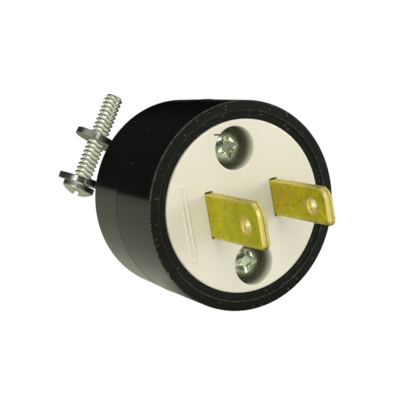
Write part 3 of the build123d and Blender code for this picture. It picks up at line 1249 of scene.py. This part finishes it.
    def build(self, finishes: Finishes) -> bpy.types.Object:
        """Makes the blade from its pierced front strip, its shoulders and its pierced tab."""
        half, thick = self.width / 2, self.thickness / 2
        upper = [(along - self.length, half - down) for along, down in self.upper_clip]
        lower = [(along - self.length, down - half) for along, down in self.lower_clip]
        corners = np.array([*lower[::-1], (self.slot_end, -half), (self.slot_end, half), *upper])
        steps = np.array(self.layers) / self.layers[0] * thick
        heights = np.concatenate([steps, -steps[-2::-1]])
        level = np.abs(heights)
        skin = Skin(self.name)
        inset, mark = self._edges(level, len(lower) - 1)
        self._place(skin, *self.plate(corners, inset, heights, self.hole, self.leaf_slip, mark))
        plain = np.repeat(self._rounding(level, self.edge)[:, None], 4, 1)
        for (first, last, span), hole in ((self.shoulder, self.shoulder_hole), (self.tab, self.tab_hole)):
            block = np.array([(first, -span / 2), (last, -span / 2), (last, span / 2), (first, span / 2)])
            self._place(skin, *self.plate(block, plain, heights, hole, 0.0, 0 * plain))
        piece = skin.build(28.0)
        settle(piece, Body.PLUG, "brass", finishes.brass, self.name.removesuffix("_strip"))
        return piece

    def _edges(self, level: np.ndarray, clips: int) -> tuple[np.ndarray, np.ndarray]:
        """The front strip's edge on each side: bevelled at the tip, folded below and seamed above.

        Formula: the bevel sets the side in by its share of height to bevel_power, and the seam is a
        groove whose depth is the root of the share that is left to its edge.

        Args:
            level: height of each row over the blade's middle.
            clips: number of cut sides in each of the tip's two corners.
        Returns:
            How far each side stands back and its mark, (rows, sides) each.
        """
        thick = self.thickness / 2
        seam = self.seam[1] * np.clip(1 - level / self.seam[0], 0, 1) ** 0.5
        rise = np.clip((level - thick + self.bevel[1]) / self.bevel[1], 0, 1)
        cut = self.bevel[0] * rise**self.bevel_power + self.seam_flare * seam
        folded, small = self._rounding(level, self.fold), self._rounding(level, self.edge)
        inset = np.stack([*[cut] * clips, folded, 0 * level, small + seam, *[cut] * clips, cut], 1)
        worn = np.where(level < thick - 0.01, *self.tip_marks)
        crest = np.where(level > thick - 0.12, *self.crest_marks)
        sides = [*[worn] * clips, crest * self.fold_share, 0 * level, crest, *[worn] * clips, worn]
        return inset, np.stack(sides, 1)

    def _rounding(self, level: np.ndarray, radius: float) -> np.ndarray:
        """How far a quarter-round edge stands back.

        Formula: the radius less the root of its square less the square of the height inside the arc.

        Args:
            level: height of each row over the blade's middle.
            radius: the edge's radius.
        Returns:
            One distance for each row.
        """
        inside = np.maximum(level - self.thickness / 2 + radius, 0)
        return radius - np.sqrt(np.maximum(radius**2 - inside**2, 0))

    def _place(self, skin: Skin, points: np.ndarray, marks: np.ndarray) -> None:
        """Adds a plate to the skin, its own height across the blade's thickness."""
        placed = Axes.BLADE.place(points[..., 0], points[..., 1], self.x + points[..., 2])
        skin.add(placed, wrap_rows=True, wrap_columns=True, mark=marks)


@dataclass
class Screw:
    """Pan head screw with a driven recess and a threaded shank.

    u and v run across the head and w runs out of it, from its seat. The head is given by its radius, its
    rim's height and its whole height, the slot by its width, its depth and its turn in degrees, and the
    cross by the width, reach and depth of its wings. The thread's section gives how deep it is cut along
    one pitch.
    """

    name: str
    node: str
    origin: tuple[float, float, float]
    axes: tuple[tuple[float, float, float], ...]
    head: tuple[float, float, float]
    slot: tuple[float, float, float]
    cross: tuple[float, float, float]
    shank: tuple[float, float]
    pitch: float
    shoulder: float = 0.16
    hub: float = 0.95
    wing_taper: tuple[float, float] = (1.3, 0.85)
    wing_rise: float = 0.62
    recess_mark: float = 0.8
    satin: float = 0.0
    head_columns: int = 320
    shank_columns: int = 56
    pitch_steps: int = 14
    thread_at: tuple[float, ...] = (0.0, 0.07, 0.14, 0.21, 0.46, 0.5, 0.54, 0.79, 0.86, 0.93, 1.0)
    thread_cut: tuple[float, ...] = (0.0, 0.02, 0.08, 0.2, 0.9, 0.94, 0.9, 0.2, 0.08, 0.02, 0.0)
    thread_depth: float = 0.58

    def place(self, u: np.ndarray, v: np.ndarray, w: np.ndarray) -> np.ndarray:
        """Points at distances along the screw's own three directions from its seat's centre."""
        parts = np.broadcast_arrays(u, v, w)
        offset = sum(part[..., None] * np.array(axis) for part, axis in zip(parts, self.axes))
        return np.array(self.origin) + offset

    def floor(self, u: np.ndarray, v: np.ndarray) -> np.ndarray:
        """Height of the recess's floor, or more than the head's height where there is no recess.

        Formula: the slot is a flat strip with steep sides, and a slot of no depth only turns the cross.
        Each wing of the cross narrows away from the middle, and its floor rises with the distance from
        the middle.

        Args:
            u, v: place on the head.
        Returns:
            The greatest height that the head may have there.
        """
        width, depth, turn = self.slot
        turn = np.radians(turn)
        along, across = u * np.cos(turn) + v * np.sin(turn), v * np.cos(turn) - u * np.sin(turn)
        top = self.head[2]
        wall = np.clip((np.abs(across) - width / 2) / 0.12, 0, 1)
        ground = top - depth + wall * (depth + 0.4)
        wing, reach, deep = self.cross
        if deep <= 0:
            return ground
        hub = np.clip((np.hypot(u, v) - self.hub) / 0.35, 0, 1)
        ground = np.minimum(ground, top - deep + hub * (deep + 0.4))
        for way, side in ((along, across), (across, along)):
            half = wing / 2 * (self.wing_taper[0] - self.wing_taper[1] * np.abs(way) / reach)
            base = top - deep * (1 - self.wing_rise * np.abs(way) / reach)
            sides = np.clip((np.abs(side) - half) / 0.4, 0, 1) + np.clip((np.abs(way) - reach) / 0.3, 0, 1)
            ground = np.minimum(ground, base + sides * (deep + 0.5))
        return ground

    def build(self, body: Body, slot: str, material: bpy.types.Material) -> bpy.types.Object:
        """Makes head and shank as one skin, each closed.

        Args:
            body: the body that the screw rides on.
            slot: the record's material slot.
            material: its finish.
        Returns:
            The screw.
        """
        skin = Skin(self.name)
        self._add_head(skin)
        self._add_shank(skin)
        piece = skin.build(50.0)
        settle(piece, body, slot, material, self.node)
        return piece

    def _add_head(self, skin: Skin) -> None:
        """Adds the head: a turned dome, pressed down to the recess's floor where that is lower.

        Formula: the dome is part of a ball through the head's middle and its rim, then a quarter turn of
        an ellipse at the shoulder and a straight side. The mark rises with the depth of the recess.

        Args:
            skin: the skin that takes it.
        """
        radius, rim, height = self.head
        bulge = height - rim
        ball = (radius**2 + bulge**2) / (2 * bulge)
        r = (radius - self.shoulder * 0.45) * np.linspace(0, 1, 66) ** 0.8
        dome = np.stack([r, height - ball + np.sqrt(ball**2 - r**2)], 1)
        bend = np.linspace(0, np.pi / 2, 7)[1:]
        start, last = dome[-1]
        out, down = start + (radius - start) * np.sin(bend), last - self.shoulder * (1 - np.cos(bend))
        turned = np.stack([out, down], 1)
        side = np.stack([np.full(10, radius), np.linspace(turned[-1, 1], 0.08, 11)[1:]], 1)
        under = np.array([(radius - 0.03, 0.02), (radius - 0.08, 0.0), (radius * 0.6, 0.0), (0.0, 0.0)])
        u, v, w = lathe(np.concatenate([dome, turned, side, under]), turns(self.head_columns))
        ground = self.floor(u, v)
        cut = np.clip(w - ground, 0, None)
        rows = np.arange(len(w))[:, None] < len(w) - len(under)
        w = np.where(rows, np.minimum(w, np.maximum(ground, 0.1)), w)
        mark = np.clip(self.satin + cut / 0.5, 0, max(self.satin, self.recess_mark)) * rows
        skin.add(self.place(u, v, w), wrap_columns=True, mark=mark)

    def _add_shank(self, skin: Skin) -> None:
        """Adds the shank: a tube whose radius follows the thread's section as it climbs a pitch a turn.

        Formula: row i at angle a lies at depth pitch * (i / steps + a / 360 degrees) and has the radius
        that the thread's section has at i / steps, cut to a cone at the tip.

        Args:
            skin: the skin that takes it.
        """
        radius, length = self.shank
        count = int(np.ceil(length / self.pitch)) + 2
        rows = np.arange(-self.pitch_steps, count * self.pitch_steps + 1)
        angle = np.linspace(0, 2 * np.pi, self.shank_columns + 1)
        depth = self.pitch * (rows[:, None] / self.pitch_steps + angle / (2 * np.pi))
        cut = np.interp((rows % self.pitch_steps) / self.pitch_steps, self.thread_at, self.thread_cut)
        section = radius - (cut * self.thread_depth * self.pitch)[:, None] + 0 * angle
        core = radius - 0.62 * self.pitch - 0.05
        cone = core + (length - depth) * 1.1
        depth = np.clip(depth, -0.3, length)
        section = np.clip(np.minimum(section, cone), radius * 0.5, None)
        section = np.where((depth <= -0.3) | (depth >= length), core, section)
        section[0] = section[-1] = 0.0
        u, v = section * np.cos(angle), section * np.sin(angle)
        # the mark grows with the thread's cut: on a darkening finish the roots come out darker and duller
        skin.add(self.place(u, v, -depth), mark=np.clip((radius - section) / self.pitch, 0, 1) * 0.6)


@dataclass
class ClampPlate:
    """Bowed steel plate: two pierced ears, a saddle, a tongue through the window and a hooked foot.

    The side is 1 for the plate above the clamp's middle plane and -1 for the one below it.
    """

    name: str
    node: str
    side: int
    thickness: float = 1.1
    reach: float = 20.8
    corner: float = 4.0
    ear_start: float = 13.6
    flat_gap: float = 4.9
    flat_half: float = 5.0
    slope: float = 4.9
    bend_reach: float = 0.55
    saddle: float = 3.75
    tongue_half: float = 7.0
    foot_front: float = 19.8
    foot_reach: float = 7.4
    foot_inner: float = 2.4
    hole: float = 1.8
    broken_edge: float = 0.12
    head_gap: float = 0.02
    ear_shares: tuple[float, ...] = (0, 0.08, 0.3, 0.6, 0.92, 1.0)
    edge_mark: float = 0.3

    @property
    def seat(self) -> float:
        """Distance of a screw head's seat from the clamp's middle plane, just clear of the sloping ear."""
        run = CLAMP_SCREW_OFFSET + SCREW_HEAD_RADIUS - self.flat_half
        return self.flat_gap / 2 + self.thickness + run * np.tan(np.radians(self.slope)) + self.head_gap

    def height(self, length: np.ndarray) -> np.ndarray:
        """Height of the plate's middle surface over the clamp's middle plane.

        Formula: the higher of the saddle's arc and the bowed plate, averaged over a short window so that
        the bends are round.

        Args:
            length: place along the plate.
        Returns:
            The heights.
        """
        shift = np.linspace(-self.bend_reach, self.bend_reach, 23)
        weight = np.cos(shift / self.bend_reach * np.pi / 2)
        at = length[..., None] + shift
        mid = self.saddle + self.thickness / 2
        base = self.flat_gap / 2 + self.thickness / 2
        bowed = base + np.maximum(np.abs(at) - self.flat_half, 0) * np.tan(np.radians(self.slope))
        arc = np.sqrt(np.maximum(mid**2 - at**2, 0))
        return (np.maximum(bowed, arc) * weight).sum(-1) / weight.sum()

    def surface(self, length: np.ndarray, depth: np.ndarray, offset: float) -> np.ndarray:
        """Points of the plate's upper or lower surface.

        Formula: the middle surface's point, moved along its normal.

        Args:
            length, depth: place along the plate and along the plug.
            offset: distance from the middle surface, outwards from the cord.
        Returns:
            The points.
        """
        slope = (self.height(length + 0.01) - self.height(length - 0.01)) / 0.02
        scale = offset / np.sqrt(1 + slope**2)
        along = length - slope * scale
        up = CLAMP_MID + self.side * (self.height(length) + scale)
        return Axes.CLAMP.place(along, depth, up)

    def _ear(self, hand: int) -> tuple[np.ndarray, np.ndarray, int]:
        """Rings of one ear, from its hole to its outline, in length and depth.

        Args:
            hand: -1 for the left ear, 1 for the right one.
        Returns:
            The lengths and depths (rings, columns), and how many points of the outline lie on its free edge.
        """
        front, rear = PLATE_FRONT, PLATE_FRONT + PLATE_WIDTH
        outer, inner = self.reach, self.ear_start
        corners = [(inner, front), (outer, front), (outer, rear), (inner, rear)]
        path = rounded(corners, [self.corner, self.corner], 10)
        pieces = [
            np.linspace(a, b, 9)[:-1] if np.hypot(*(b - a)) > 1 else a[None]
            for a, b in zip(path, path[1:])
        ]
        shared = np.linspace((inner, rear), (inner, front), 25)[:-1]
        outline = np.concatenate([*pieces, shared])
        centre = np.array([CLAMP_SCREW_OFFSET, PLATE_MIDDLE])
        way = outline - centre
        ring = way / np.linalg.norm(way, axis=1)[:, None] * self.hole + centre
        rows = ring + (outline - ring) * np.array(self.ear_shares)[:, None, None]
        return hand * rows[..., 0], rows[..., 1], len(outline) - len(shared) + 1

    def build(self, body: Body, finishes: Finishes) -> bpy.types.Object:
        """Makes the plate from its flat pattern, bent over the clamp's section, and rounds its edges.

        Args:
            body: the body that the plate rides on.
            finishes: the plug's finishes.
        Returns:
            The plate.
        """
        skin = Skin(self.name)
        half = self.thickness / 2
        inner = np.linspace(-self.tongue_half, self.tongue_half, 113)
        outer = np.linspace(self.tongue_half, self.ear_start, 12)
        lengths = np.concatenate([-outer[:0:-1], inner, outer[1:]])
        depths = np.linspace(PLATE_FRONT, PLATE_FRONT + PLATE_WIDTH, 25)
        tongue = np.linspace(self.foot_front, PLATE_FRONT, 13)
        ears = [self._ear(hand) for hand in (-1, 1)]
        for offset in (half, -half):
            for length, depth in (np.meshgrid(lengths, depths), np.meshgrid(inner, tongue)):
                skin.add(self.surface(length, depth, offset))
            for length, depth, _ in ears:
                skin.add(self.surface(length, depth, offset), wrap_columns=True)
        edges = [
            (lengths, depths[-1]),
            (outer, PLATE_FRONT),
            (-outer, PLATE_FRONT),
            (inner, self.foot_front),
            (self.tongue_half, tongue),
            (-self.tongue_half, tongue),
        ]
        for length, depth, free in ears:
            edges.append((length[-1, :free], depth[-1, :free]))
            edges.append((np.append(length[0], length[0, 0]), np.append(depth[0], depth[0, 0])))
        for edge in edges:
            length, depth = np.broadcast_arrays(*edge)
            wall = [self.surface(length, depth, offset) for offset in np.linspace(half, -half, 3)]
            skin.add(np.array(wall), mark=self.edge_mark)
        self._add_foot(skin)
        piece = skin.build(40.0)
        bevel = piece.modifiers.new("broken edges", "BEVEL")
        bevel.width = self.broken_edge * MM
        bevel.segments = 2
        bevel.limit_method = "ANGLE"
        bevel.angle_limit = np.radians(60)
        piece.modifiers.move(1, 0)
        settle(piece, body, "bright_plating", finishes.nickel, self.node)
        return piece

    def _add_foot(self, skin: Skin) -> None:
        """Adds the hooked foot: a slab square to the tongue, from inside the plate out to the foot's reach.

        Args:
            skin: the skin that takes it.
        """
        first, last = sorted((-self.side * self.foot_inner, self.side * self.tongue_half))
        length = np.linspace(first, last, 40)
        low = self.height(length)
        up = CLAMP_MID + self.side * (low + (self.foot_reach - low) * np.linspace(0, 1, 12)[:, None])
        rear = self.foot_front + self.thickness
        front, back = (Axes.CLAMP.place(length, np.array(depth), up) for depth in (self.foot_front, rear))
        for face in (front, back):
            skin.add(face)
        for edge in ((0,), (-1,), (slice(None), 0), (slice(None), -1)):
            skin.add(np.array([front[edge], back[edge]]))


@dataclass(frozen=True)
class Softbox:
    """A soft square light that faces the plug."""

    name: str
    place: tuple[float, float, float]
    size: float
    power: float

    def build(self) -> None:
        """Makes the light. Place and size are in millimetres and the power is in watts."""
        data = bpy.data.lights.new(self.name, "AREA")
        data.size = self.size * MM
        data.energy = self.power
        lamp = bpy.data.objects.new(self.name, data)
        centre = Vector(self.place) * MM
        aim = (-centre).to_track_quat("-Z", "Y").to_matrix().to_4x4()
        lamp.matrix_world = Matrix.Translation(centre) @ aim
        bpy.context.scene.collection.objects.link(lamp)


@dataclass
class Studio:
    """Pale floor, white surround, soft lights and the camera at the photograph's place.

    The camera sees floor and surround white. Mirrors see other strengths, each mapped over its span: on
    the floor a painted shadow, a pool that darkens close under the plug, towards the front and to the right,
    and round about a pale wall low down behind, a glow at the left, and one overhead and at the right.
    Floor spans are in metres, and the surround's are parts of the direction that is looked in.
    """

    eye: tuple[float, float, float] = (-105.4881, -187.4704, 47.8913)
    turn: tuple[float, float, float] = (1.6909, -0.5707, 0.2209)
    lens_pixels: float = 1304.6813
    picture: int = 400
    sensor: float = 36.0
    floor_height: float = -20.3
    floor_size: float = 9000.0
    white: tuple = (1.0, 1.0, 1.0)
    black: tuple = (0.0, 0.0, 0.0)
    warm: tuple = (0.95, 1.0, 0.76)
    seen: float = 1.03
    floor_fill: float = 0.66
    sky_fill: float = 0.55
    near_glow: float = 0.12
    far_glow: float = 0.74
    near_span: tuple[float, float] = (0.0268, 0.0360)
    front_glow: float = 0.30
    front_span: tuple[float, float] = (-0.11, -0.04)
    right_floor: float = 0.10
    right_span: tuple[float, float] = (-0.014, 0.008)
    right_slant: float = 2.0
    wall_glow: float = 0.63
    dark_glow: float = 0.025
    wall_span: tuple[float, float] = (0.045, 0.065)
    aside_glow: float = 0.03
    aside_span: tuple[float, float] = (0.12, 0.36)
    left_glow: float = 0.85
    left_span: tuple[float, float] = (-0.85, -0.6)
    left_top_span: tuple[float, float] = (0.2, 0.4)
    over_glow: float = 0.6
    over_span: tuple[float, float] = (0.6, 0.85)
    softboxes: tuple[Softbox, ...] = (
        Softbox("key_softbox", (-60, -460, 380), 260, 0.5),
        Softbox("top_softbox", (-80, -240, 500), 320, 0.75),
        Softbox("left_softbox", (-430, -210, 120), 240, 0.58),
        Softbox("right_softbox", (390, -320, 50), 200, 0.85),
    )

    def camera(self) -> None:
        """Makes the camera. Its axes are the rows of the rotation that was fitted to the photograph."""
        angle = float(np.linalg.norm(self.turn))
        rows = np.array(Matrix.Rotation(angle, 3, self.turn))
        data = bpy.data.cameras.new("camera")
        data.sensor_width = self.sensor
        data.lens = self.lens_pixels * self.sensor / self.picture
        data.clip_start, data.clip_end = 0.01, 20.0
        camera = bpy.data.objects.new("camera", data)
        matrix = Matrix(np.stack([rows[0], -rows[1], -rows[2]], 1).tolist()).to_4x4()
        matrix.translation = [value * MM for value in self.eye]
        camera.matrix_world = matrix
        bpy.context.scene.collection.objects.link(camera)
        bpy.context.scene.camera = camera

    def floor(self) -> None:
        """Makes the floor: a large square, white to the camera, that glows less close under the plug: a painted
        shadow that mirrors see.
        """
        half = self.floor_size / 2
        edge = np.linspace(-half, half, 9)
        u, v = np.meshgrid(edge, edge)
        skin = Skin("floor")
        skin.add(Axes.PLUG.place(u, self.floor_height + 0 * u, v))
        piece = skin.build()
        piece.modifiers.clear()
        shader = Shader("floor_white")
        distance = shader.add("VectorMath", operation="LENGTH")
        shader.feed(shader.object_place(), distance.inputs[0])
        x, y, _ = shader.components(shader.object_place())
        # painted contact shadow: mirrors see the floor darker close under the plug, to its right and towards
        # the front
        near = shader.scaled(distance.outputs["Value"], self.near_glow, self.far_glow, self.near_span)
        lit = shader.scaled(y, self.front_glow, 1.0, self.front_span)
        ahead = shader.together("MULTIPLY", shader.together("MINIMUM", y, 0.0), self.right_slant)
        aside = shader.scaled(shader.together("ADD", x, ahead), 1.0, self.right_floor, self.right_span)
        mirrored = shader.together("MULTIPLY", shader.together("MULTIPLY", near, lit), aside)
        path = shader.add("LightPath")
        strength = shader.choice(path.outputs["Is Glossy Ray"], self.floor_fill, mirrored)
        strength = shader.choice(path.outputs["Is Camera Ray"], strength, self.seen)
        tint = shader.blend(path.outputs["Is Glossy Ray"], self.white, self.warm)
        shader.set(Emission_Strength=strength, Emission_Color=tint)
        shader.set(Base_Color=self.black, Roughness=1.0, Specular_IOR_Level=0.0)
        piece.data.materials.append(shader.material)
        piece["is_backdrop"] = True

    def surround(self) -> None:
        """Makes the world: white to the camera, grey for fill, and its own strengths in mirrors."""
        world = bpy.data.worlds.new("surround")
        bpy.context.scene.world = world
        world.use_nodes = True
        tree = Tree(world.node_tree)
        tree.tree.nodes.clear()
        x, _, z = tree.components(tree.add("TexCoord").outputs["Generated"])
        wall = tree.scaled(z, self.wall_glow, self.dark_glow, self.wall_span, smooth=True)
        behind = tree.together("MULTIPLY", wall, tree.scaled(x, 1.0, self.aside_glow, self.aside_span))
        left = tree.scaled(x, self.left_glow, 0.0, self.left_span)
        left = tree.together("MULTIPLY", left, tree.scaled(z, 1.0, 0.0, self.left_top_span))
        over = tree.scaled(tree.together("MAXIMUM", z, x), 0.0, self.over_glow, self.over_span)
        glow = tree.together("MAXIMUM", tree.together("MAXIMUM", behind, left), over)
        path = tree.add("LightPath")
        shade = self._backdrop(tree, self.white, self.sky_fill)
        for ray, background in (
            ("Is Glossy Ray", self._backdrop(tree, self.warm, glow)),
            ("Is Camera Ray", self._backdrop(tree, self.white, self.seen)),
        ):
            mix = tree.add("MixShader")
            for value, target in zip((path.outputs[ray], shade, background), mix.inputs):
                tree.feed(value, target)
            shade = mix.outputs[0]
        tree.feed(shade, tree.add("OutputWorld").inputs[0])

    @staticmethod
    def _backdrop(tree: Tree, colour: tuple, strength: object) -> Socket:
        """A plain background.

        Args:
            tree: the world's tree.
            colour: its RGB triple.
            strength: a socket or a number.
        Returns:
            Its shader.
        """
        node = tree.add("Background")
        tree.feed(colour, node.inputs["Color"])
        tree.feed(strength, node.inputs["Strength"])
        return node.outputs[0]

    def build(self) -> None:
        """Makes the whole studio."""
        self.camera()
        self.floor()
        self.surround()
        for softbox in self.softboxes:
            softbox.build()
        view = bpy.context.scene.view_settings
        view.view_transform = "Standard"
        view.look = "None"


class Plug:
    """The whole plug: its moulded body, its blades, its screws and its cord clamp."""

    def __init__(self, nodes: dict[str, bpy.types.Object]) -> None:
        """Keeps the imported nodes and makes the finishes."""
        self.nodes = nodes
        self.finishes = Finishes()

    def body(self) -> None:
        """Builds the shell, the face and the blades. The narrow blade's tip is clipped a little less."""
        face = FaceInsert()
        Shell().build(self.finishes)
        face.build(self.finishes)
        Blade("blade_neutral_strip", -BLADE_SPACING / 2, face.wide).build(self.finishes)
        Blade(
            "blade_line_strip",
            BLADE_SPACING / 2,
            face.narrow,
            upper_clip=((1.4, 0.0), (0.48, 0.62), (0.0, 1.5)),
            lower_clip=((0.85, 0.0), (0.30, 0.38), (0.0, 0.85)),
        ).build(self.finishes)

    def assembly_screws(self) -> None:
        """Builds the two screws in the face's wells, each with its own turn."""
        right, rear, up = Axes.PLUG.value[0], Axes.PLUG.value[2], Axes.PLUG.value[1]
        for name, height, turn in (("upper", SCREW_OFFSET, 8.0), ("lower", -SCREW_OFFSET, -15.0)):
            Screw(
                name=f"face_screw_{name}",
                node=f"assembly_screw_{name}",
                origin=(0.0, WELL_DEPTH, height),
                axes=(right, up, tuple(-part for part in rear)),
                head=(SCREW_HEAD_RADIUS, 1.1, 2.05),
                slot=(0.5, 0.0, turn),
                cross=(0.95, 2.15, 0.95),
                shank=(1.5, 10.0),
                pitch=1.06,
            ).build(Body.PLUG, "zinc_screw", self.finishes.zinc)

    def clamp(self) -> None:
        """Builds the clamp's two plates and its two long screws. The shell doesn't mirror them."""
        fixed = ClampPlate("fixed_plate", "clamp_plate_fixed", -1)
        loose = ClampPlate("loose_plate_strip", "clamp_plate_moving", 1)
        pieces = [fixed.build(Body.PLUG, self.finishes), loose.build(Body.PLATE, self.finishes)]
        along, rear, up = (np.array(axis) for axis in Axes.CLAMP.value)
        for hand, body, name in ((-1, Body.LEFT, "left"), (1, Body.RIGHT, "right")):
            origin = hand * CLAMP_SCREW_OFFSET * along + PLATE_MIDDLE * rear + (CLAMP_MID - fixed.seat) * up
            screw = Screw(
                name=f"long_screw_{name}",
                node=f"clamp_screw_{name}",
                origin=tuple(origin),
                axes=(tuple(along), tuple(-rear), tuple(-up)),
                head=(SCREW_HEAD_RADIUS, 0.95, 2.1),
                slot=(0.7, 0.9, -66.0),
                cross=(0.0, 1.0, 0.0),
                shank=(1.67, 17.4),
                pitch=25.4 / 32,
                shoulder=0.4,
                satin=0.85,
            )
            pieces.append(screw.build(body, "bright_plating", self.finishes.nickel))
        for piece in pieces:
            piece.visible_glossy = False

    def inner_pieces(self) -> None:
        """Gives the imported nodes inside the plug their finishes."""
        chosen = {
            "terminal_block": self.finishes.inner,
            "terminal_screw_neutral": self.finishes.silver_screw,
            "pressure_plate_neutral": self.finishes.silver_screw,
            "terminal_screw_line": self.finishes.brass_screw,
            "pressure_plate_line": self.finishes.brass_screw,
        }
        for name, material in chosen.items():
            mesh = self.nodes[name].data
            mesh.materials.clear()
            mesh.materials.append(material)
            LOG.info("%s: packed node, %s", name, material.name)


def main(frame: dict, packed_box: tuple) -> None:
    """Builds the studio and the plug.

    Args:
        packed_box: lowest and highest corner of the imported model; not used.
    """
    Studio().build()
    plug = Plug(frame["nodes"])
    plug.body()
    plug.assembly_screws()
    plug.clamp()
    plug.inner_pieces()


if __name__ == "__main__":
    logging.basicConfig(level=logging.INFO, format="%(name)s %(message)s")
    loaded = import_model()
    main(loaded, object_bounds())
